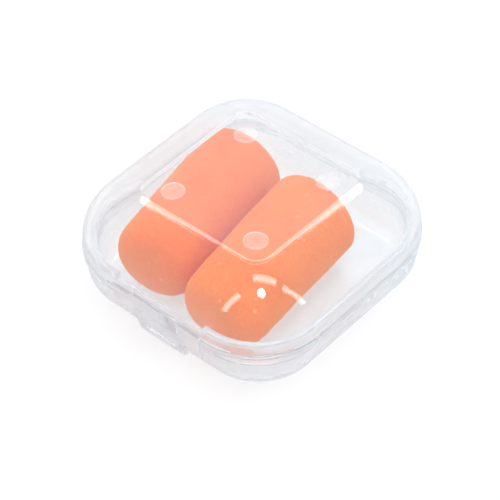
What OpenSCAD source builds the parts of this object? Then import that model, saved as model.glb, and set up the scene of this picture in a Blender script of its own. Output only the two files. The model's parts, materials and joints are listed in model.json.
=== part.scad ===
// Pair of foam ear plugs in a clear hinged pocket case. Millimetres, +Z up.
// Origin: centre of the flat underside of the base tray.
// -Y is the latch side, +Y is the hinge side.

/* [Case] */
// outside width and depth of the closed case at the lid rim
case_side = 40; // [30:0.5:60]
// height of the closed case
case_height = 17; // [12:0.1:30]
// height of the line where the lid meets the base
parting_height = 7.5; // [4:0.1:12]
// corner radius in plan at the lid rim
corner_radius = 10.9; // [5:0.1:16]
// wall thickness of lid and base
wall = 1.1; // [0.6:0.05:2]

/* [Lid] */
// how far the straight part of the lid wall leans in
lid_draft = 0.2; // [0:0.05:1]
// radius of the shoulder next to the wall
shoulder_radius = 7.5; // [3:0.1:10]
// radius of the flatter arc between shoulder and top edge
crown_radius = 18; // [7:0.1:24]
// radius of the edge round the flat top
edge_radius = 2.2; // [0.5:0.1:5]
// angle where the shoulder hands over to the crown arc
shoulder_angle = 60; // [40:1:70]
// angle where the crown arc hands over to the top edge
crown_angle = 76; // [71:1:88]
// distance of the round moulding marks from the centre lines
mark_offset = 7.5; // [4:0.05:9]
// diameter of a moulding mark
mark_diameter = 3.4; // [1:0.1:5]

/* [Base tray] */
// step from the lid rim in to the base wall
base_step = 0.45; // [0.1:0.05:1]
// corner radius in plan of the base wall
base_corner = 9.65; // [5:0.05:14]
// how far the base wall leans in down to the bottom edge
base_draft = 0.45; // [0:0.05:1]
// radius of the bottom edge
bottom_fillet = 4; // [1:0.1:6]
// height of the lip that enters the lid
lip_height = 1.4; // [0.5:0.1:2]
// thickness of the lip
lip_thickness = 0.8; // [0.5:0.05:1.2]
// gap between lid rim and base rim
rim_gap = 0.05; // [0.02:0.01:0.2]

/* [Hinge] */
// radius of the hinge knuckles
knuckle_radius = 1.0; // [0.8:0.05:2]
// distance of the hinge line outside the lid wall
hinge_offset = 0.6; // [0.3:0.05:2]
// half length of the lid knuckle
lid_knuckle_half = 3.5; // [2:0.1:5]
// outer end of the base knuckles
base_knuckle_end = 7.4; // [5:0.1:8]
// radius of the moulded hinge pins
pin_radius = 0.55; // [0.4:0.05:1]
// running clearance of pin in bore, on the radius
pin_clearance = 0.05; // [0.02:0.01:0.1]
// how far each pin reaches into the lid knuckle
pin_reach = 2.2; // [1:0.1:3]

/* [Latch] */
// width of the latch tab
tab_width = 8.2; // [4:0.1:14]
// thickness of the latch tab
tab_thickness = 0.8; // [0.6:0.05:1]
// height of the tab's lower edge above the table
tab_low = 0.7; // [0.4:0.05:2]
// height of the finger groove across the tab
grip_height = 2.4; // [1.8:0.1:4]
// half width of the flat front panel
panel_half = 7.9; // [5:0.1:8]
// gap around the latch tab
tab_gap = 0.12; // [0.05:0.01:0.3]
// width of the relief slot behind the front panel
slot_width = 0.35; // [0.2:0.05:0.6]
// depth of the relief slot below the base rim
slot_depth = 1; // [0.4:0.1:1.6]

/* [Ear plugs] */
// diameter at the flat outer end
plug_back = 13.5; // [9:0.1:16]
// diameter at the rounded ear end
plug_front = 12.5; // [8:0.1:15]
// overall length of a plug
plug_length = 24.5; // [15:0.5:30]
// rounding of the ear end
plug_nose = 3; // [1:0.1:6]
// rounding of the outer end
plug_rim = 1; // [0.3:0.1:3]
// where the left plug's middle lies, and its turn
left_x = -7.6; // [-8:0.05:-7]
left_y = -2.9; // [-4:0.05:0]
left_turn = 9; // [0:0.5:12]
// where the right plug's middle lies, and its turn
right_x = 6.25; // [6.2:0.05:7]
right_y = -3.9; // [-4.2:0.05:0]
right_turn = 6.5; // [0:0.5:12]

/* [Hidden] */
$fn = 96;
half = case_side / 2;
// centre of the plan corner radius
s = half - corner_radius;
// lid section: arc centres, measured outward from the corner centre
arc_u = corner_radius - lid_draft - shoulder_radius;
arc_z = case_height - edge_radius
    - (crown_radius - edge_radius) * sin(crown_angle)
    - (shoulder_radius - crown_radius) * sin(shoulder_angle);
crown_u = arc_u + (shoulder_radius - crown_radius) * cos(shoulder_angle);
crown_z = arc_z + (shoulder_radius - crown_radius) * sin(shoulder_angle);
edge_u = crown_u + (crown_radius - edge_radius) * cos(crown_angle);
edge_z = case_height - edge_radius;
// base section: its own corner centre, then lengths outward from that centre
base_top = parting_height - rim_gap;
sb = half - base_step - base_corner;
foot_u = base_corner - base_draft;
// lip: lengths outward from the lid's corner centre
lip_u = half - base_step - wall + 0.1 - s;
lip_root = half - base_step - 0.45 - s;
// hinge line
hinge_y = half + hinge_offset;
hinge_z = parting_height;
// front panel: outer face at the top and at its lower edge, and inner face
panel_top = parting_height + 0.25;
panel_face = -(half - 0.12);
panel_foot = -(half - 0.35);
slot_y = -(half - 1.3);
// latch tab root line
root_y = -(half - 0.4);
root_z = parting_height + 0.75;
root_radius = tab_thickness / 2 + 0.08;
// latch tab: inner face at the top, inner and outer face at the lower edge
tab_in = root_y + 0.35;
tab_bend = 5.9;
tab_foot = -(half - 2.08);
tab_toe = tab_foot - tab_thickness;
channel_half = tab_width / 2 + tab_gap;
// taper of a plug, the height of its middle above what it rests on, and that resting height
taper = atan((plug_back - plug_front) / 2 / plug_length);
plug_axis_z = (plug_back + plug_front) / 4 * cos(taper);
floor_z = wall + 0.05;

// point of a circle in a section
function on_arc(u, z, r, a) = [u + r * cos(a), z + r * sin(a)];

// strip just inside the rim of a disc, between two angles, in a section
module arc_strip(u, z, r, a, b) {
    intersection() {
        translate([u, z]) circle(r = r);
        polygon([
            on_arc(u, z, r - 0.6, a),
            on_arc(u, z, 2 * r, a),
            on_arc(u, z, 2 * r, b),
            on_arc(u, z, r - 0.6, b)
        ]);
    }
}

// filled half section of the lid, set in by t, from the height low up
module lid_fill(t, low) {
    foot = corner_radius + lid_draft * (parting_height - low) / (arc_z - parting_height);
    polygon([
        [0, low],
        [foot - t, low],
        on_arc(arc_u, arc_z, shoulder_radius - t, 0),
        on_arc(arc_u, arc_z, shoulder_radius - t, shoulder_angle / 2),
        on_arc(arc_u, arc_z, shoulder_radius - t, shoulder_angle),
        on_arc(crown_u, crown_z, crown_radius - t, crown_angle),
        on_arc(edge_u, edge_z, edge_radius - t, 90),
        [0, case_height - t]
    ]);
    arc_strip(arc_u, arc_z, shoulder_radius - t, -2, shoulder_angle + 3);
    arc_strip(crown_u, crown_z, crown_radius - t, shoulder_angle, crown_angle);
    arc_strip(edge_u, edge_z, edge_radius - t, crown_angle - 6, 95);
}

// section of the lid shell
module lid_section() {
    difference() {
        lid_fill(0, parting_height);
        lid_fill(wall, parting_height - 1);
    }
}

// filled half section of the base, set in by t
module base_fill(t, top) {
    union() {
        translate([0, t]) square([foot_u - bottom_fillet, bottom_fillet]);
        intersection() {
            translate([foot_u - bottom_fillet, bottom_fillet]) circle(r = bottom_fillet - t);
            translate([foot_u - bottom_fillet, 0]) square([bottom_fillet, bottom_fillet]);
        }
        polygon([
            [0, bottom_fillet],
            [foot_u - t, bottom_fillet],
            [base_corner - t, base_top],
            [base_corner - t, top],
            [0, top]
        ]);
    }
}

// section of the base shell; the shadow groove runs under the rim
module base_section() {
    difference() {
        base_fill(0, base_top);
        base_fill(wall, base_top + 1);
        translate([base_corner - 0.32, parting_height - 1.75]) square([1, 0.6]);
    }
}

// lip that enters the lid
module lip_section() {
    polygon([
        [lip_u, base_top + lip_height],
        [lip_u - lip_thickness, base_top + lip_height],
        [lip_u - lip_thickness, base_top - 0.6],
        [lip_root, base_top - 1.3],
        [lip_root, base_top - 0.3],
        [lip_u, base_top - 0.3]
    ]);
}

// straight side k of a square with its corner centres at c, numbered from +X round to -Y
module side(k, c) {
    rotate([0, 0, 90 * k])
        translate([c, c, 0])
            rotate([90, 0, 0])
                linear_extrude(2 * c)
                    children();
}

// quarter turn k round a corner centre
module corner(k, c) {
    rotate([0, 0, 90 * k])
        translate([c, c, 0])
            rotate_extrude(angle = 90)
                children();
}

// section in the YZ plane, drawn out along X to half width w on both sides
module across(w) {
    translate([-w, 0, 0])
        rotate([90, 0, 90])
            linear_extrude(2 * w)
                children();
}

// cylinder along X at a height and depth
module rod(x0, x1, y, z, r) {
    translate([x0, y, z])
        rotate([0, 90, 0])
            cylinder(h = x1 - x0, r = r);
}

// ring shaped ejector mark on the underside of the lid
module mark() {
    translate([0, 0, case_height - wall - 0.2]) {
        cylinder(h = 0.32, d = mark_diameter);
        difference() {
            cylinder(h = 0.4, d = mark_diameter);
            translate([0, 0, -1]) cylinder(h = 2, d = mark_diameter - 0.6);
        }
    }
}

module lid() {
    color([0.9, 0.93, 0.96, 0.35])
    difference() {
        union() {
            for (k = [0 : 3]) side(k, s) lid_section();
            for (k = [0 : 3]) corner(k, s) lid_section();
            translate([-s - 1, -s - 1, case_height - wall]) cube([2 * s + 2, 2 * s + 2, wall]);
            // knuckle and its web
            rod(-lid_knuckle_half, lid_knuckle_half, hinge_y, hinge_z, knuckle_radius);
            translate([-lid_knuckle_half, half - 0.7, hinge_z + 0.1])
                cube([2 * lid_knuckle_half, hinge_offset + 0.7, knuckle_radius - 0.1]);
        }
        // bore for the two moulded pins
        rod(-lid_knuckle_half - 1, lid_knuckle_half + 1, hinge_y, hinge_z,
            pin_radius + pin_clearance);
        // room for the base knuckles
        for (m = [0, 1]) mirror([m, 0, 0])
            rod(lid_knuckle_half, base_knuckle_end + 0.15, hinge_y, hinge_z,
                knuckle_radius + 0.12);
        // moulding marks
        for (x = [-1, 1], y = [-1, 1])
            translate([x * mark_offset, y * mark_offset, 0]) mark();
        // seat for the root of the latch tab
        rod(-channel_half, channel_half, root_y, root_z, root_radius + 0.08);
        translate([-channel_half, -half - 1, parting_height - 1])
            cube([2 * channel_half, tab_in + 0.15 + half + 1, root_z - parting_height + 1]);
        // straight front rim is relieved for the front panel
        translate([-panel_half - 0.1, -half - 1, parting_height - 1])
            cube([2 * panel_half + 0.2, 3, 1.35]);
    }
}

// flat front panel, nearly flush with the lid
module front_panel() {
    across(panel_half)
        polygon([
            [panel_face, panel_top],
            [slot_y, panel_top],
            [slot_y, 4.4],
            [-half + 1.2, 3.2],
            [panel_foot, 3.9]
        ]);
}

// room for the latch tab in the front wall
module tab_channel() {
    across(channel_half)
        polygon([
            [-half - 2, parting_height + 2],
            [tab_in + 0.25, parting_height + 2],
            [tab_in + 0.25, tab_bend],
            [tab_foot + 0.12, tab_low - 0.2],
            [-half - 2, -1]
        ]);
}

module base_tray() {
    color([0.88, 0.91, 0.95, 0.35])
    union() {
        difference() {
            union() {
                for (k = [0 : 3]) side(k, sb) base_section();
                for (k = [0 : 3]) corner(k, sb) base_section();
                translate([-sb - 1, -sb - 1, 0]) cube([2 * sb + 2, 2 * sb + 2, wall]);
                for (k = [0 : 3]) side(k, s) lip_section();
                for (k = [0 : 3]) corner(k, s) lip_section();
                front_panel();
                // knuckles and their webs
                for (m = [0, 1]) mirror([m, 0, 0]) {
                    rod(lid_knuckle_half + 0.12, base_knuckle_end, hinge_y, hinge_z,
                        knuckle_radius);
                    translate([lid_knuckle_half + 0.12, half - 1.1, hinge_z - knuckle_radius])
                        cube([base_knuckle_end - lid_knuckle_half - 0.12,
                              hinge_offset + 1.1, knuckle_radius - rim_gap]);
                }
            }
            // room for the lid knuckle
            rod(-lid_knuckle_half - 0.12, lid_knuckle_half + 0.12, hinge_y, hinge_z,
                knuckle_radius + 0.12);
            tab_channel();
            // the lip is lower behind the front panel, and a relief slot parts the two
            translate([-panel_half, -half, panel_top]) cube([2 * panel_half, 4, 4]);
            translate([-panel_half, slot_y, base_top - slot_depth])
                cube([2 * panel_half, slot_width, 4]);
        }
        // catch bead across the channel
        rod(-tab_width / 2 + 0.6, tab_width / 2 - 0.6, tab_in + 0.32, 6.4, 0.22);
        // moulded hinge pins
        for (m = [0, 1]) mirror([m, 0, 0])
            rod(lid_knuckle_half - pin_reach, lid_knuckle_half + 1, hinge_y, hinge_z, pin_radius);
    }
}

// depth of the tab's outer face at height z
function tab_face(z) =
    tab_toe + (root_y - root_radius - tab_toe) * (z - tab_low - 0.2) / (6.1 - tab_low - 0.2);

module latch_tab() {
    color([0.9, 0.93, 0.96, 0.4])
    difference() {
        union() {
            rod(-tab_width / 2, tab_width / 2, root_y, root_z, root_radius);
            across(tab_width / 2)
                polygon([
                    [root_y - root_radius, root_z],
                    [tab_in, root_z],
                    [tab_in, tab_bend],
                    [tab_foot, tab_low + 0.15],
                    [tab_foot - 0.2, tab_low],
                    [tab_toe + 0.15, tab_low],
                    [tab_toe, tab_low + 0.2],
                    [root_y - root_radius, 6.1]
                ]);
        }
        // finger groove
        rod(-tab_width / 2 + 1.4, tab_width / 2 - 1.4, tab_face(grip_height) - 0.3,
            grip_height, 0.55);
    }
}

// one plug, lying along +Y, ear end at -Y, resting on z = 0
module plug_body() {
    translate([0, 0, plug_axis_z])
        rotate([taper, 0, 0])
            rotate([-90, 0, 0])
                translate([0, 0, -plug_length / 2])
                    rotate_extrude()
                        intersection() {
                            union() {
                                polygon([
                                    [0, 0],
                                    [plug_front / 2 - plug_nose, 0],
                                    [plug_front / 2 - plug_nose, plug_nose],
                                    [plug_front / 2, plug_nose],
                                    [plug_back / 2, plug_length - plug_rim],
                                    [plug_back / 2 - plug_rim, plug_length - plug_rim],
                                    [plug_back / 2 - plug_rim, plug_length],
                                    [0, plug_length]
                                ]);
                                translate([plug_front / 2 - plug_nose, plug_nose])
                                    circle(r = plug_nose);
                                translate([plug_back / 2 - plug_rim, plug_length - plug_rim])
                                    circle(r = plug_rim);
                            }
                            square([20, plug_length]);
                        }
}

module plug_left() {
    color([0.96, 0.36, 0.15])
        translate([left_x, left_y, floor_z])
            rotate([0, 0, left_turn])
                plug_body();
}

module plug_right() {
    color([0.96, 0.36, 0.15])
        translate([right_x, right_y, floor_z])
            rotate([0, 0, right_turn])
                plug_body();
}

base_tray();
lid();
latch_tab();
plug_left();
plug_right();
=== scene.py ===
import json
import math

import bmesh
import bpy
import numpy as np
from mathutils import Matrix, Vector, noise


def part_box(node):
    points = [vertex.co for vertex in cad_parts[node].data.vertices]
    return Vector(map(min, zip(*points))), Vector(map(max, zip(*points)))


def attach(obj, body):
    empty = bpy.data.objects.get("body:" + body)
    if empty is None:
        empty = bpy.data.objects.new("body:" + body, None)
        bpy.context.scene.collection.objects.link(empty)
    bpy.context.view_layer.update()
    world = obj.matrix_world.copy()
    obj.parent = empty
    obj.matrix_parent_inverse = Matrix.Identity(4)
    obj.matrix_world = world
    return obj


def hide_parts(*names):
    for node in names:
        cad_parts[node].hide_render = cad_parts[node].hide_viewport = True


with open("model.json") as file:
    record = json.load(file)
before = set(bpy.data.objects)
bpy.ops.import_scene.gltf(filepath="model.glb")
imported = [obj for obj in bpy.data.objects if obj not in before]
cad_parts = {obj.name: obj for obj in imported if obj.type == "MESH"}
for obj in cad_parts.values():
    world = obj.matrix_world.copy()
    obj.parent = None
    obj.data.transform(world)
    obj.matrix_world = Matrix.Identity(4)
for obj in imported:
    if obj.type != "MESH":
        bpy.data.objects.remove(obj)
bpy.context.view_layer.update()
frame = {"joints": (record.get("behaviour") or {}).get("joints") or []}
scene = bpy.context.scene
mm = 0.001

# ---------------------------------------------------------------- sizes read from the frame
lid_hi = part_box("lid")[1]
base_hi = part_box("base_tray")[1]
tab_lo, tab_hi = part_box("latch_tab")
joint = {j["name"]: j for j in frame["joints"]}
HALF = lid_hi.x
K = HALF / 20.0                      # lengths below are written for a 40 mm case and times K
TOP = lid_hi.z
CORNER = 10.9 * K                    # plan corner radius at the lid rim
S = HALF - CORNER                    # corner centre of the lid and of the base lip
WALL = 1.1 * K
GAP = 0.12 * K                       # running gap round the knuckles and the tab

# hinge
SEAM = joint["lid_hinge"]["pos_m"][2]
HINGE_Y = joint["lid_hinge"]["pos_m"][1]
KNUCKLE = 1.0 * K                    # radius
LID_KNUCKLE = 3.5 * K                # half length of the lid's knuckle
BASE_KNUCKLE = LID_KNUCKLE + GAP, 7.4 * K
PIN = 0.55 * K
PIN_SPAN = 1.3 * K, 4.5 * K

# lid
LID_WALL = CORNER - 0.2 * K          # plan radius at the top of the straight wall
SHOULDER, CROWN, EDGE = 7.5 * K, 18 * K, 2.2 * K
SHOULDER_END, CROWN_END = 60, 76     # degrees from the outward direction
MARK = 7.5 * K                       # distance of the ejector marks from both middle planes
MARK_R = 1.7 * K

# base tray
BASE_TOP = SEAM - 0.05 * K
BASE_U = 9.65 * K                    # plan corner radius of the base wall
SB = base_hi.x - BASE_U              # corner centre of the base wall
FOOT_U = BASE_U - 0.45 * K
FILLET = 4.0 * K
GROOVE = SEAM - 1.75 * K, SEAM - 1.15 * K
LIP_U = base_hi.x - WALL + 0.1 * K - S
LIP_ROOT = base_hi.x - 0.45 * K - S
LIP_TOP = BASE_TOP + 1.4 * K
LIP = 0.8 * K                        # thickness
PANEL = 7.9 * K                      # half width of the thick front panel
PANEL_TOP = SEAM + 0.25 * K
SLOT_Y = -(HALF - 1.3 * K)
SLOT = 0.35 * K

# latch tab
ROOT_Y, ROOT_Z = joint["latch_flex"]["pos_m"][1:]
TAB_HALF = (tab_hi.x - tab_lo.x) / 2
CHANNEL = TAB_HALF + GAP
TAB_IN = ROOT_Y + 0.35 * K
TAB_OUT = tab_lo.y
TAB_FOOT = tab_hi.y
TAB_TOE = TAB_FOOT - 0.8 * K
TAB_LOW = tab_lo.z
TAB_BEND = 6.1 * K                   # height at which the outer face starts to lean in
GRIP_Z = 2.4 * K


# ---------------------------------------------------------------- mesh helpers
def add_mesh(name, verts, faces):
    """New object from points and faces, linked to the scene."""
    me = bpy.data.meshes.new(name)
    me.from_pydata([tuple(map(float, v)) for v in verts], [], faces)
    me.update()
    ob = bpy.data.objects.new(name, me)
    scene.collection.objects.link(ob)
    return ob


def arc(cx, cz, r, a0, a1, n):
    """Points of an arc in a section, angles in degrees from the outward direction."""
    return [(cx + r * math.cos(math.radians(a)), cz + r * math.sin(math.radians(a)))
            for a in np.linspace(a0, a1, n)]


def fix_normals(ob):
    """Weld doubled points and turn every face outwards."""
    bm = bmesh.new()
    bm.from_mesh(ob.data)
    bmesh.ops.remove_doubles(bm, verts=bm.verts, dist=1e-7)
    bmesh.ops.dissolve_degenerate(bm, edges=bm.edges, dist=1e-7)
    bmesh.ops.recalc_face_normals(bm, faces=bm.faces)
    bm.to_mesh(ob.data)
    bm.free()


def shade(ob, angle=28):
    """Smooth faces, with edges sharper than the angle kept crisp."""
    bm = bmesh.new()
    bm.from_mesh(ob.data)
    for f in bm.faces:
        f.smooth = True
    for e in bm.edges:
        e.smooth = not (len(e.link_faces) == 2 and e.calc_face_angle(0) > math.radians(angle))
    bm.to_mesh(ob.data)
    bm.free()
    ob.data.update()


def rod(name, x0, x1, y, z, r, n=48):
    """Round bar along X."""
    verts = []
    for x in (x0, x1):
        verts += [(x, y + r * math.cos(2 * math.pi * i / n), z + r * math.sin(2 * math.pi * i / n))
                  for i in range(n)]
    faces = [(i, (i + 1) % n, n + (i + 1) % n, n + i) for i in range(n)]
    faces += [tuple(range(n))[::-1], tuple(range(n, 2 * n))]
    ob = add_mesh(name, verts, faces)
    fix_normals(ob)
    return ob


def disc(name, x, y, z0, z1, r0, r1=0.0, n=64):
    """Round plate along Z, or a ring when r1 is given."""
    rings = [(r0, z0), (r0, z1)] + ([(r1, z1), (r1, z0)] if r1 else [])
    verts = [(x + r * math.cos(2 * math.pi * i / n), y + r * math.sin(2 * math.pi * i / n), z)
             for r, z in rings for i in range(n)]
    m = len(rings)
    faces = []
    for k in range(m if r1 else m - 1):
        a, b = k * n, ((k + 1) % m) * n
        faces += [(a + i, a + (i + 1) % n, b + (i + 1) % n, b + i) for i in range(n)]
    if not r1:
        faces += [tuple(range(n))[::-1], tuple(range(n, 2 * n))]
    ob = add_mesh(name, verts, faces)
    fix_normals(ob)
    return ob


def bar(name, lo, hi):
    """Box between two corners."""
    verts = [(x, y, z) for x in (lo[0], hi[0]) for y in (lo[1], hi[1]) for z in (lo[2], hi[2])]
    faces = [(0, 1, 3, 2), (4, 6, 7, 5), (0, 4, 5, 1), (2, 3, 7, 6), (0, 2, 6, 4), (1, 5, 7, 3)]
    ob = add_mesh(name, verts, faces)
    fix_normals(ob)
    return ob


def combine(ob, tools, how):
    """Exact boolean with each tool, applied at once; the tools are removed. It is worked out in
    millimetres, where the boolean's own tolerance is small beside the details."""
    ob.data.transform(Matrix.Scale(1000, 4))
    for t in tools:
        t.data.transform(Matrix.Scale(1000, 4))
        m = ob.modifiers.new("b", "BOOLEAN")
        m.operation, m.object, m.solver = how, t, "EXACT"
        dg = bpy.context.evaluated_depsgraph_get()
        new = bpy.data.meshes.new_from_object(ob.evaluated_get(dg))
        ob.modifiers.clear()
        old = ob.data
        ob.data = new
        bpy.data.meshes.remove(old)
        bpy.data.objects.remove(t)
    ob.data.transform(Matrix.Scale(0.001, 4))
    return ob


def rounded(points, radii, n=5):
    """Outline with each corner rounded off by its own radius."""
    out = []
    for i, (p, r) in enumerate(zip(points, radii)):
        p = Vector(p)
        if r <= 0:
            out.append(tuple(p))
            continue
        a = (Vector(points[i - 1]) - p).normalized()
        b = (Vector(points[(i + 1) % len(points)]) - p).normalized()
        half = a.angle(b) / 2
        c = p + (a + b).normalized() * (r / math.sin(half))
        reach = r / math.tan(half)
        start, end = p + a * reach - c, p + b * reach - c
        a0 = math.atan2(start.y, start.x)
        turn = (math.atan2(end.y, end.x) - a0 + math.pi) % (2 * math.pi) - math.pi
        for k in range(n):
            g = a0 + turn * k / (n - 1)
            out.append((c.x + r * math.cos(g), c.y + r * math.sin(g)))
    return out


def prism(name, outline, half, bevel=0.0):
    """A YZ outline drawn out along X to the same length on both sides."""
    n = len(outline)
    verts = [(x, y, z) for x in (-half, half) for y, z in outline]
    faces = [(i, (i + 1) % n, n + (i + 1) % n, n + i) for i in range(n)]
    faces += [tuple(range(n))[::-1], tuple(range(n, 2 * n))]
    ob = add_mesh(name, verts, faces)
    fix_normals(ob)
    if bevel:
        bm = bmesh.new()
        bm.from_mesh(ob.data)
        ends = [e for e in bm.edges if abs(e.verts[0].co.x - e.verts[1].co.x) < 1e-9]
        bmesh.ops.bevel(bm, geom=ends, offset=bevel, segments=2, profile=0.5, affect="EDGES")
        bm.to_mesh(ob.data)
        bm.free()
    return ob


def pair(a, b):
    """The same stretch of X on both sides of the middle."""
    return (-b, -a), (a, b)


def sin_d(a):
    return math.sin(math.radians(a))


def cos_d(a):
    return math.cos(math.radians(a))


# ---------------------------------------------------------------- plan of the case
def stations(centre, steps):
    """(side, position) round a plan with its corner centres at the given distance."""
    out = []
    for k in range(4):
        out += [("s", k, p) for p in np.linspace(-centre, centre, steps + 1)[:-1]]
        out += [("c", k, a) for a in np.linspace(0, 90, 31)[:-1]]
    return out


def place(st, u, centre):
    """Plan point at distance u outside the corner centres."""
    kind, k, p = st
    if kind == "s":
        x, y = centre + u, p
    else:
        a = math.radians(p)
        x, y = centre + u * math.cos(a), centre + u * math.sin(a)
    t = math.radians(90 * k)
    return x * math.cos(t) - y * math.sin(t), x * math.sin(t) + y * math.cos(t)


def loft(name, section, centre, closed=False):
    """Closed solid swept round the plan. The section is a list of (u, z) points. It starts and ends
    on a flat face, which is filled to the middle, or it is a closed ring."""
    sts = stations(centre, 7 if closed else 8)
    m, n = len(section), len(sts)
    verts, faces = [], []
    for st in sts:
        for u, z in section:
            x, y = place(st, u, centre)
            verts.append((x, y, z))
    for i in range(n):
        j = (i + 1) % n
        for k in range(m if closed else m - 1):
            l = (k + 1) % m
            faces.append((i * m + k, j * m + k, j * m + l, i * m + l))
    if not closed:
        for k in (0, m - 1):
            faces.append(tuple(i * m + k for i in range(n)))
    ob = add_mesh(name, verts, faces)
    fix_normals(ob)
    return ob


# ---------------------------------------------------------------- lid
# centres of the section's three arcs, as distance outside the corner centre and height
SHOULDER_U = LID_WALL - SHOULDER
SHOULDER_Z = TOP - EDGE - (CROWN - EDGE) * sin_d(CROWN_END) - (SHOULDER - CROWN) * sin_d(SHOULDER_END)
CROWN_U = SHOULDER_U + (SHOULDER - CROWN) * cos_d(SHOULDER_END)
CROWN_Z = SHOULDER_Z + (SHOULDER - CROWN) * sin_d(SHOULDER_END)
EDGE_U = CROWN_U + (CROWN - EDGE) * cos_d(CROWN_END)
EDGE_Z = TOP - EDGE


def lid_curve(t):
    """Lid section at depth t under the outside, from the flat top down to the wall."""
    pts = [(0.4 * K, TOP - t)]
    pts += arc(EDGE_U, EDGE_Z, EDGE - t, 90, CROWN_END, 8)
    pts += arc(CROWN_U, CROWN_Z, CROWN - t, CROWN_END, SHOULDER_END, 8)[1:]
    pts += arc(SHOULDER_U, SHOULDER_Z, SHOULDER - t, SHOULDER_END, 0, 20)[1:]
    return pts


def lid_cuts():
    """Hinge bore and clearances, room for the tab and the front panel, ejector marks."""
    cuts = [rod("bore", -PIN_SPAN[1], PIN_SPAN[1], HINGE_Y, SEAM, PIN + 0.05 * K, 32)]
    for a, b in pair(LID_KNUCKLE, BASE_KNUCKLE[1] + 0.15 * K):
        cuts.append(rod("knuckle_room", a, b, HINGE_Y, SEAM, KNUCKLE + GAP))
    cuts.append(rod("root_room", -CHANNEL, CHANNEL, ROOT_Y, ROOT_Z, 0.56 * K))
    cuts.append(bar("tab_room", (-CHANNEL, -HALF - K, SEAM - K), (CHANNEL, TAB_IN + 0.15 * K, ROOT_Z)))
    wide = PANEL + 0.1 * K
    cuts.append(bar("panel_room", (-wide, -HALF - K, SEAM - K), (wide, -HALF + 2 * K, SEAM + 0.35 * K)))
    inside = TOP - WALL
    for x in (-MARK, MARK):
        for y in (-MARK, MARK):
            cuts.append(disc("mark", x, y, inside - 0.3 * K, inside + 0.12 * K, MARK_R))
            cuts.append(disc("mark_ring", x, y, inside - 0.3 * K, inside + 0.2 * K, MARK_R, 1.4 * K))
    return cuts


def make_lid():
    rim = rounded([(LID_WALL, SHOULDER_Z), (CORNER, SEAM), (CORNER - WALL, SEAM),
                   (LID_WALL - WALL, SHOULDER_Z)], [0, 0.16 * K, 0.12 * K, 0])[1:-1]
    ob = loft("lid_shell", lid_curve(0) + rim + lid_curve(WALL)[::-1], S)
    knuckle = rod("knuckle", -LID_KNUCKLE, LID_KNUCKLE, HINGE_Y, SEAM, KNUCKLE)
    web = bar("web", (-LID_KNUCKLE, HALF - 0.7 * K, SEAM + 0.1 * K),
              (LID_KNUCKLE, HINGE_Y, SEAM + KNUCKLE))
    combine(ob, [knuckle, web], "UNION")
    return combine(ob, lid_cuts(), "DIFFERENCE")


# ---------------------------------------------------------------- base tray
def base_curve(t, low, high):
    """Wall of the base at depth t, from the flat floor up between two heights."""
    pts = [(0.4 * K, t)]
    for a in np.linspace(0, 90, 22):
        pts.append((FOOT_U - FILLET + (FILLET - t) * sin_d(a), FILLET - (FILLET - t) * cos_d(a)))
    for z in (low, high):
        pts.append((FOOT_U + (BASE_U - FOOT_U) * (z - FILLET) / (BASE_TOP - FILLET) - t, z))
    return pts


def base_shell():
    """The tray itself, with a shallow groove round the outside below the rim."""
    outer = base_curve(0, GROOVE[0] - 0.9 * K, GROOVE[0])
    deep = BASE_U - 0.32 * K
    outer += rounded([outer[-1], (deep, GROOVE[0]), (deep, GROOVE[1]), (BASE_U - 0.15 * K, GROOVE[1])],
                     [0, 0.08 * K, 0.08 * K, 0], 3)[1:]
    outer.append((BASE_U, GROOVE[1] + 0.05 * K))
    rim = rounded([(BASE_U, SEAM - 0.9 * K), (BASE_U, BASE_TOP), (BASE_U - WALL, BASE_TOP),
                   (BASE_U - WALL, FILLET)], [0, 0.12 * K, 0.1 * K, 0])[1:-1]
    inner = base_curve(WALL, FILLET + 0.1 * K, BASE_TOP - 0.6 * K)[::-1]
    return loft("base_shell", outer + rim + inner, SB)


def base_lip():
    """Ring that stands inside the lid."""
    return loft("lip", rounded([(LIP_U, LIP_TOP), (LIP_U - LIP, LIP_TOP), (LIP_U - LIP, BASE_TOP - 0.6 * K),
                                (LIP_ROOT, BASE_TOP - 1.3 * K), (LIP_ROOT, BASE_TOP - 0.3 * K),
                                (LIP_U, BASE_TOP - 0.3 * K)],
                               [0.12 * K, 0.2 * K, 0.4 * K, 0, 0, 0]), S, closed=True)


def front_panel():
    return prism("panel", rounded([(-HALF + 0.12 * K, PANEL_TOP), (SLOT_Y, PANEL_TOP), (SLOT_Y, 4.4 * K),
                                   (-HALF + 1.2 * K, 3.2 * K), (-HALF + 0.35 * K, 3.9 * K)],
                                  [0.15 * K, 0, 0, 0, 0.25 * K]), PANEL)


def tab_channel():
    """Room for the tab in the front panel."""
    back = TAB_IN + 0.25 * K
    out = -HALF - 2 * K
    return prism("channel", [(out, SEAM + 2 * K), (back, SEAM + 2 * K), (back, 5.9 * K),
                             (TAB_FOOT + GAP, 0.5 * K), (out, -K)], CHANNEL)


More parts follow.
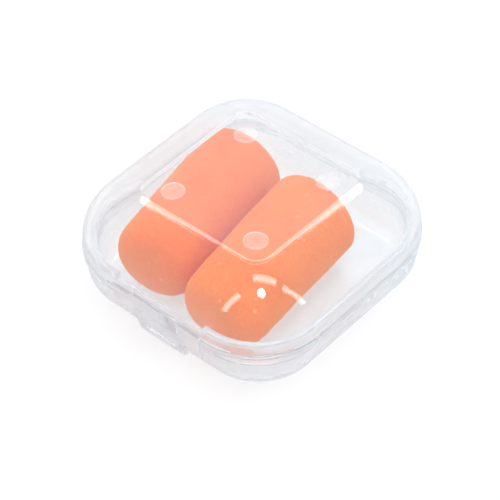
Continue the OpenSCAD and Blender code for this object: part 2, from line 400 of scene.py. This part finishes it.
def make_base():
    ob = combine(base_shell(), [base_lip()], "UNION")
    lip_gap = bar("lip_gap", (-PANEL, -HALF, PANEL_TOP), (PANEL, -HALF + 4 * K, PANEL_TOP + 4 * K))
    combine(ob, [lip_gap], "DIFFERENCE")
    parts = [front_panel()]
    for a, b in pair(*BASE_KNUCKLE):
        parts.append(rod("knuckle", a, b, HINGE_Y, SEAM, KNUCKLE))
        parts.append(bar("web", (a, HALF - WALL, SEAM - KNUCKLE), (b, HINGE_Y, SEAM - 0.05 * K)))
    combine(ob, parts, "UNION")
    room = rod("knuckle_room", -BASE_KNUCKLE[0], BASE_KNUCKLE[0], HINGE_Y, SEAM, KNUCKLE + GAP)
    slot = bar("slot", (-PANEL, SLOT_Y, BASE_TOP - K), (PANEL, SLOT_Y + SLOT, BASE_TOP + 3 * K))
    combine(ob, [room, tab_channel(), slot], "DIFFERENCE")
    parts = [rod("pin", a, b, HINGE_Y, SEAM, PIN, 32) for a, b in pair(*PIN_SPAN)]
    bead = TAB_HALF - 0.6 * K
    parts.append(rod("bead", -bead, bead, TAB_IN + 0.32 * K, 6.4 * K, 0.22 * K, 24))
    return combine(ob, parts, "UNION")


# ---------------------------------------------------------------- latch tab
def tab_face(z):
    """Outer face of the tab at a height."""
    low = TAB_LOW + 0.2 * K
    return TAB_TOE + (TAB_OUT - TAB_TOE) * (z - low) / (TAB_BEND - low)


def make_tab():
    root_r = ROOT_Y - TAB_OUT
    outline = [(ROOT_Y + root_r * cos_d(a), ROOT_Z + root_r * sin_d(a)) for a in np.linspace(0, 180, 17)]
    outline += rounded([(TAB_OUT, ROOT_Z), (TAB_OUT, TAB_BEND), (TAB_TOE, TAB_LOW), (TAB_FOOT, TAB_LOW),
                        (TAB_IN, 5.9 * K), (TAB_IN, ROOT_Z)],
                       [0, 0.6 * K, 0.18 * K, 0.16 * K, 0.5 * K, 0], 6)[1:-1]
    outline.append((TAB_IN, ROOT_Z - 0.05 * K))
    ob = prism("latch_tab_shell", outline, TAB_HALF, 0.1 * K)
    reach = TAB_HALF - 1.4 * K
    grip = rod("grip", -reach, reach, tab_face(GRIP_Z) - 0.3 * K, GRIP_Z, 0.55 * K, 32)
    return combine(ob, [grip], "DIFFERENCE")


lid = make_lid()
base = make_base()
tab = make_tab()
for ob in (lid, base, tab):
    shade(ob)


# ---------------------------------------------------------------- foam plugs
PLUG_BACK, PLUG_FRONT, PLUG_LENGTH = 6.7 * K, 6.2 * K, 24.4 * K
PLUG_NOSE, PLUG_RIM = 3.0 * K, 1.0 * K
AROUND = 128


def plug_profile():
    """(radius, distance from the front) from the middle of the front to the middle of the back."""
    prof = [(0.001 * K, 0)]
    prof += [(r, 0) for r in np.linspace(0, PLUG_FRONT - PLUG_NOSE, 5)[1:]]
    for a in np.linspace(0, math.pi / 2, 16)[1:]:
        prof.append((PLUG_FRONT - PLUG_NOSE + PLUG_NOSE * math.sin(a), PLUG_NOSE - PLUG_NOSE * math.cos(a)))
    body = PLUG_LENGTH - PLUG_RIM
    for f in np.linspace(0, 1, 44)[1:]:
        t = PLUG_NOSE + f * (body - PLUG_NOSE)
        prof.append((PLUG_FRONT + (PLUG_BACK - PLUG_FRONT) * t / body, t))
    for a in np.linspace(0, math.pi / 2, 9)[1:]:
        prof.append((PLUG_BACK - PLUG_RIM + PLUG_RIM * math.cos(a), body + PLUG_RIM * math.sin(a)))
    prof += [(r, PLUG_LENGTH) for r in np.linspace(PLUG_BACK - PLUG_RIM, 0.001 * K, 9)[1:]]
    return prof


def plug(name, cad_node, slide_name, seed):
    """Foam plug along its slide's axis, resting on the tray floor, slightly uneven."""
    lo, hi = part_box(cad_node)
    slide = joint[slide_name]["axis"]
    prof = plug_profile()
    off = Vector((seed * 13.1, seed * 5.7, seed * 3.3))
    verts = []
    for r, t in prof:
        for i in range(AROUND):
            a = 2 * math.pi * i / AROUND
            p = Vector((r * math.cos(a), t - PLUG_LENGTH / 2, r * math.sin(a)))
            uneven = noise.fractal(p / (7 * mm) + off, 0.9, 2.1, 3) * 0.10 * mm
            uneven += noise.fractal(p / (1.1 * mm) + off, 1.0, 2.0, 3) * 0.03 * mm
            if r > 0.3 * PLUG_FRONT:
                d = Vector((math.cos(a), 0, math.sin(a)))
            else:
                d = Vector((0, 1 if t > PLUG_LENGTH / 2 else -1, 0))
            verts.append(p + d * uneven)
    m, n = len(prof), AROUND
    faces = [(k * n + i, k * n + (i + 1) % n, (k + 1) * n + (i + 1) % n, (k + 1) * n + i)
             for k in range(m - 1) for i in range(n)]
    faces += [tuple(range(n)), tuple(range((m - 1) * n, m * n))[::-1]]
    ob = add_mesh(name, verts, faces)
    fix_normals(ob)
    turn = math.atan2(-slide[0], slide[1])
    tilt = math.atan((PLUG_BACK - PLUG_FRONT) / PLUG_LENGTH)
    ob.data.transform(Matrix.Rotation(turn, 4, "Z") @ Matrix.Rotation(tilt, 4, "X"))
    lowest = min(v.co.z for v in ob.data.vertices)
    ob.data.transform(Matrix.Translation(((lo.x + hi.x) / 2, (lo.y + hi.y) / 2, lo.z - lowest)))
    # a plug rests on a small flat of its own
    for v in ob.data.vertices:
        v.co.z = max(v.co.z, lo.z + 0.06 * mm)
    for f in ob.data.polygons:
        f.use_smooth = True
    return ob


left = plug("foam_plug_left", "plug_left", "left_plug_slide", 1)
right = plug("foam_plug_right", "plug_right", "right_plug_slide", 2)


# ---------------------------------------------------------------- materials
def new_material(name):
    """New material with an empty node tree."""
    m = bpy.data.materials.new(name)
    m.use_nodes = True
    nt = m.node_tree
    nt.nodes.clear()
    return m, nt


def link(nt, a, b):
    nt.links.new(a, b)


def node(nt, kind, **values):
    """New shader node with the named inputs set."""
    n = nt.nodes.new("ShaderNode" + kind)
    for key, value in values.items():
        n.inputs[key.replace("_", " ")].default_value = value
    return n


def noise_at(nt, coord, scale, detail, roughness=0.5):
    """Noise in the piece's own coordinates, so it moves with the piece."""
    n = node(nt, "TexNoise", Scale=scale, Detail=detail, Roughness=roughness)
    link(nt, coord.outputs["Object"], n.inputs["Vector"])
    return n


def bump(nt, height, distance, strength=1.0, normal=None):
    b = node(nt, "Bump", Strength=strength, Distance=distance)
    link(nt, height, b.inputs["Height"])
    if normal:
        link(nt, normal, b.inputs["Normal"])
    return b.outputs["Normal"]


def mix_shader(nt, fac, a, b):
    m = nt.nodes.new("ShaderNodeMixShader")
    if isinstance(fac, float):
        m.inputs["Fac"].default_value = fac
    else:
        link(nt, fac, m.inputs["Fac"])
    link(nt, a, m.inputs[1])
    link(nt, b, m.inputs[2])
    return m.outputs["Shader"]


def math_node(nt, operation, *values):
    n = nt.nodes.new("ShaderNodeMath")
    n.operation = operation
    for i, v in enumerate(values):
        if isinstance(v, (int, float)):
            n.inputs[i].default_value = v
        else:
            link(nt, v, n.inputs[i])
    return n.outputs["Value"]


def clear_plastic(name, haze, rough):
    """Slightly milky polypropylene. Camera rays refract through it; light reaches what lies
    behind it straight, a little weaker at each face. It looks milkier at a glancing angle, where
    the path through the wall is longer. The face attribute "frost" makes a face matt."""
    m, nt = new_material(name)
    out = nt.nodes.new("ShaderNodeOutputMaterial")
    coord = nt.nodes.new("ShaderNodeTexCoord")
    flow = noise_at(nt, coord, 70, 2)
    cloud = noise_at(nt, coord, 260, 4, 0.6)
    fine = noise_at(nt, coord, 2600, 3)
    frost = nt.nodes.new("ShaderNodeAttribute")
    frost.attribute_name = "frost"
    normal = bump(nt, flow.outputs["Fac"], 0.00004, 0.3)
    normal = bump(nt, fine.outputs["Fac"], 0.000012, 0.25, normal)
    glass = node(nt, "BsdfPrincipled", Base_Color=(1, 1, 1, 1), Transmission_Weight=1.0, IOR=1.49,
                 Coat_Weight=0.25, Coat_Roughness=0.02, Coat_IOR=1.49)
    vary = node(nt, "MapRange", To_Min=rough * 0.7, To_Max=rough * 1.3)
    link(nt, cloud.outputs["Fac"], vary.inputs["Value"])
    matt = math_node(nt, "MULTIPLY", frost.outputs["Fac"], 0.2)
    facing = node(nt, "LayerWeight", Blend=0.5)
    glance = math_node(nt, "POWER", facing.outputs["Facing"], 2.0)
    steep = math_node(nt, "POWER", facing.outputs["Facing"], 3.5)
    matt = math_node(nt, "ADD", matt, math_node(nt, "MULTIPLY", steep, 0.5))
    link(nt, math_node(nt, "ADD", vary.outputs["Result"], matt), glass.inputs["Roughness"])
    link(nt, normal, glass.inputs["Normal"])
    white = (0.76, 0.84, 0.885, 1)
    milk = mix_shader(nt, 0.5, node(nt, "BsdfDiffuse", Color=white).outputs["BSDF"],
                      node(nt, "BsdfTranslucent", Color=white).outputs["BSDF"])
    glance = math_node(nt, "MULTIPLY_ADD", glance, 1.15, haze)
    cloudy = node(nt, "MapRange", To_Min=0.8, To_Max=1.2)
    link(nt, cloud.outputs["Fac"], cloudy.inputs["Value"])
    milky = math_node(nt, "MULTIPLY", glance, cloudy.outputs["Result"])
    milky = math_node(nt, "ADD", milky, math_node(nt, "MULTIPLY", frost.outputs["Fac"], 0.13))
    body = mix_shader(nt, milky, glass.outputs["BSDF"], milk)
    clear = node(nt, "BsdfTransparent", Color=(0.93, 0.945, 0.96, 1))
    path = nt.nodes.new("ShaderNodeLightPath")
    either = math_node(nt, "MAXIMUM", path.outputs["Is Shadow Ray"], path.outputs["Is Diffuse Ray"])
    surface = mix_shader(nt, either, body, clear.outputs["BSDF"])
    link(nt, surface, out.inputs["Surface"])
    vol = node(nt, "VolumeAbsorption", Color=(0.55, 0.68, 0.8, 1), Density=8.0)
    link(nt, vol.outputs["Volume"], out.inputs["Volume"])
    return m


def foam(name, warm, deep, shift):
    """Slow-recovery foam: matt, finely grained, with a few pale specks. It gives off a faint
    red glow of its own, a painted glow standing in for red light bounced between the plugs and into their
    shaded parts. The shift makes two plugs differ."""
    m, nt = new_material(name)
    out = nt.nodes.new("ShaderNodeOutputMaterial")
    coord = nt.nodes.new("ShaderNodeTexCoord")
    moved = node(nt, "VectorMath")
    moved.inputs[1].default_value = (shift, 0, 0)
    link(nt, coord.outputs["Object"], moved.inputs[0])
    big = noise_at(nt, coord, 150, 3)
    fine = noise_at(nt, coord, 3900, 4, 0.75)
    cells = node(nt, "TexVoronoi", Scale=3000.0)
    specks = node(nt, "TexVoronoi", Scale=460.0)
    for tex in (big, fine, cells, specks):
        link(nt, moved.outputs["Vector"], tex.inputs["Vector"])
    broad = math_node(nt, "MULTIPLY", big.outputs["Fac"], 0.18)
    tone = math_node(nt, "MULTIPLY_ADD", fine.outputs["Fac"], 0.82, broad)
    ramp = nt.nodes.new("ShaderNodeValToRGB")
    ramp.color_ramp.elements[0].position = 0.36
    ramp.color_ramp.elements[0].color = (*deep, 1)
    ramp.color_ramp.elements[1].position = 0.64
    ramp.color_ramp.elements[1].color = (*warm, 1)
    link(nt, tone, ramp.inputs["Fac"])
    pale = nt.nodes.new("ShaderNodeMix")
    pale.data_type = "RGBA"
    speck = node(nt, "MapRange", From_Min=0.05, From_Max=0.13, To_Min=0.8, To_Max=0.0)
    link(nt, specks.outputs["Distance"], speck.inputs["Value"])
    link(nt, speck.outputs["Result"], pale.inputs["Factor"])
    link(nt, ramp.outputs["Color"], pale.inputs["A"])
    pale.inputs["B"].default_value = (0.80, 0.42, 0.26, 1)
    # the faint red emission is a painted glow: it stands in for red light bounced into the crevice between
    # the plugs and their shaded sides
    skin = node(nt, "BsdfPrincipled", Roughness=0.9, Specular_IOR_Level=0.12, Sheen_Weight=0.2,
                Sheen_Roughness=0.6, Sheen_Tint=(1.0, 0.5, 0.3, 1), Subsurface_Weight=0.5,
                Subsurface_Radius=(1.0, 0.3, 0.1), Subsurface_Scale=0.0018,
                Emission_Color=(1.0, 0.07, 0.02, 1), Emission_Strength=0.11)
    link(nt, pale.outputs["Result"], skin.inputs["Base Color"])
    normal = bump(nt, fine.outputs["Fac"], 0.00016, 0.6)
    normal = bump(nt, cells.outputs["Distance"], 0.00008, 0.4, normal)
    link(nt, normal, skin.inputs["Normal"])
    link(nt, skin.outputs["BSDF"], out.inputs["Surface"])
    return m


mat_lid = clear_plastic("clear_lid", 0.02, 0.018)
mat_base = clear_plastic("clear_base", 0.15, 0.14)
mat_tab = clear_plastic("clear_tab", 0.06, 0.08)
mat_foam_l = foam("foam_left", (0.79, 0.225, 0.042), (0.67, 0.100, 0.018), 0)
mat_foam_r = foam("foam_right", (0.80, 0.245, 0.036), (0.68, 0.112, 0.016), 1)

for ob, mat, body, cad_node, slot in (
        (lid, mat_lid, "lid", "lid", "clear_lid"),
        (base, mat_base, "base", "base_tray", "clear_base"),
        (tab, mat_tab, "latch", "latch_tab", "clear_tab"),
        (left, mat_foam_l, "left_plug", "plug_left", "plug_foam"),
        (right, mat_foam_r, "right_plug", "plug_right", "plug_foam")):
    ob.data.materials.clear()
    ob.data.materials.append(mat)
    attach(ob, body)
    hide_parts(cad_node)

# the ejector marks are frosted
MARK_Z = TOP - WALL + 0.1 * K
frost = lid.data.attributes.new("frost", "FLOAT", "FACE")
for f in lid.data.polygons:
    c = f.center
    near = math.hypot(abs(c.x) - MARK, abs(c.y) - MARK) < MARK_R + 0.02 * K
    in_recess = abs(c.z - MARK_Z) < 0.12 * K and f.normal.z < -0.3
    if near and in_recess and f.area < 12 * K * K:
        frost.data[f.index].value = 1.0

# ---------------------------------------------------------------- floor, light, camera
def make_floor(half=3.0, below=0.02 * mm):
    """White sheet that gives off most of its own brightness, so shadows on it stay pale."""
    ob = add_mesh("floor", [(x * half, y * half, -below) for x, y in ((-1, -1), (1, -1), (1, 1), (-1, 1))],
                  [(0, 1, 2, 3)])
    m, nt = new_material("floor_white")
    out = nt.nodes.new("ShaderNodeOutputMaterial")
    paper = node(nt, "BsdfPrincipled", Base_Color=(0.24, 0.24, 0.24, 1), Emission_Color=(1, 1, 1, 1),
                 Emission_Strength=0.64, Roughness=0.6)
    link(nt, paper.outputs["BSDF"], out.inputs["Surface"])
    ob.data.materials.append(m)


def make_world():
    """White room, a little darker on the side that the flat lid mirrors to the camera."""
    world = bpy.data.worlds.new("studio")
    scene.world = world
    world.use_nodes = True
    nt = world.node_tree
    coord = nt.nodes.new("ShaderNodeTexCoord")
    towards = nt.nodes.new("ShaderNodeVectorMath")
    towards.operation = "DOT_PRODUCT"
    towards.inputs[1].default_value = (-0.486, 0.541, 0.687)
    link(nt, coord.outputs["Generated"], towards.inputs[0])
    level = node(nt, "MapRange", From_Min=-0.2, From_Max=0.95, To_Min=1.12, To_Max=0.85)
    link(nt, towards.outputs["Value"], level.inputs["Value"])
    bg = nt.nodes["Background"]
    bg.inputs["Color"].default_value = (0.985, 0.995, 1.0, 1)
    link(nt, level.outputs["Result"], bg.inputs["Strength"])


def axes_matrix(x, y, z, at):
    """Matrix with the given axes and place."""
    return Matrix(((x.x, y.x, z.x, at.x), (x.y, y.y, z.y, at.y), (x.z, y.z, z.z, at.z), (0, 0, 0, 1)))


MIDDLE = Vector((0, 0, TOP / 2))


def panel_light(name, shape, direction, width, length, radiance, along, dist=0.6):
    """Soft box seen from the case in a direction, with its sizes as angles in degrees."""
    light = bpy.data.lights.new(name, "AREA")
    light.shape = shape
    light.size = 2 * dist * math.tan(math.radians(length / 2))
    light.size_y = 2 * dist * math.tan(math.radians(width / 2))
    face = light.size * light.size_y * (math.pi / 4 if shape == "ELLIPSE" else 1)
    light.energy = radiance * math.pi * face
    ob = bpy.data.objects.new(name, light)
    scene.collection.objects.link(ob)
    z = Vector(direction).normalized()
    x = (Vector(along) - z * z.dot(Vector(along))).normalized()
    ob.matrix_world = axes_matrix(x, z.cross(x), z, z * dist + MIDDLE)


def make_camera():
    """Camera above the corner between the latch side and the right side, tipped a little."""
    azimuth, elevation, roll = (math.radians(v) for v in (42.79, 44.16, -1.99))
    back = Vector((math.sin(azimuth) * math.cos(elevation), -math.cos(azimuth) * math.cos(elevation),
                   math.sin(elevation)))
    level = Vector((math.cos(azimuth), math.sin(azimuth), 0))
    rise = back.cross(level)
    across = level * math.cos(roll) + rise * math.sin(roll)
    up = rise * math.cos(roll) - level * math.sin(roll)
    eye = MIDDLE + back * 289.05 * mm
    aim = MIDDLE - up * (3.013 * mm) - across * (0.288 * mm)
    z = (eye - aim).normalized()
    x = up.cross(z).normalized()
    data = bpy.data.cameras.new("camera")
    data.sensor_width = 36
    data.lens = 149.56
    data.clip_start, data.clip_end = 0.01, 10
    ob = bpy.data.objects.new("camera", data)
    scene.collection.objects.link(ob)
    ob.matrix_world = axes_matrix(x, z.cross(x), z, eye)
    scene.camera = ob


make_floor()
make_world()
# the key draws the bright fold lines at the front of the flat top, the others the small highlights
panel_light("key", "RECTANGLE", (-0.34, 0.385, 0.858), 11, 47, 5.0, (0.7, 0.7, 0))
panel_light("bar", "RECTANGLE", (0.09, 0.10, 0.99), 6, 26, 5.0, (0.42, 0.35, 0))
panel_light("left_strip", "RECTANGLE", (-0.17, -0.66, 0.73), 7, 40, 4.5, (-0.08, -0.68, -0.58))
panel_light("right_strip", "RECTANGLE", (0.66, 0.36, 0.66), 5, 44, 6.0, (0.46, 0.11, -0.48))
panel_light("spark", "ELLIPSE", (0.204, -0.126, 0.971), 8, 8, 42.0, (1, 0, 0))
make_camera()
scene.view_settings.view_transform = "Standard"
scene.cycles.max_bounces = 32
scene.cycles.transmission_bounces = 32
scene.cycles.transparent_max_bounces = 32
scene.cycles.glossy_bounces = 8

bpy.context.view_layer.update()
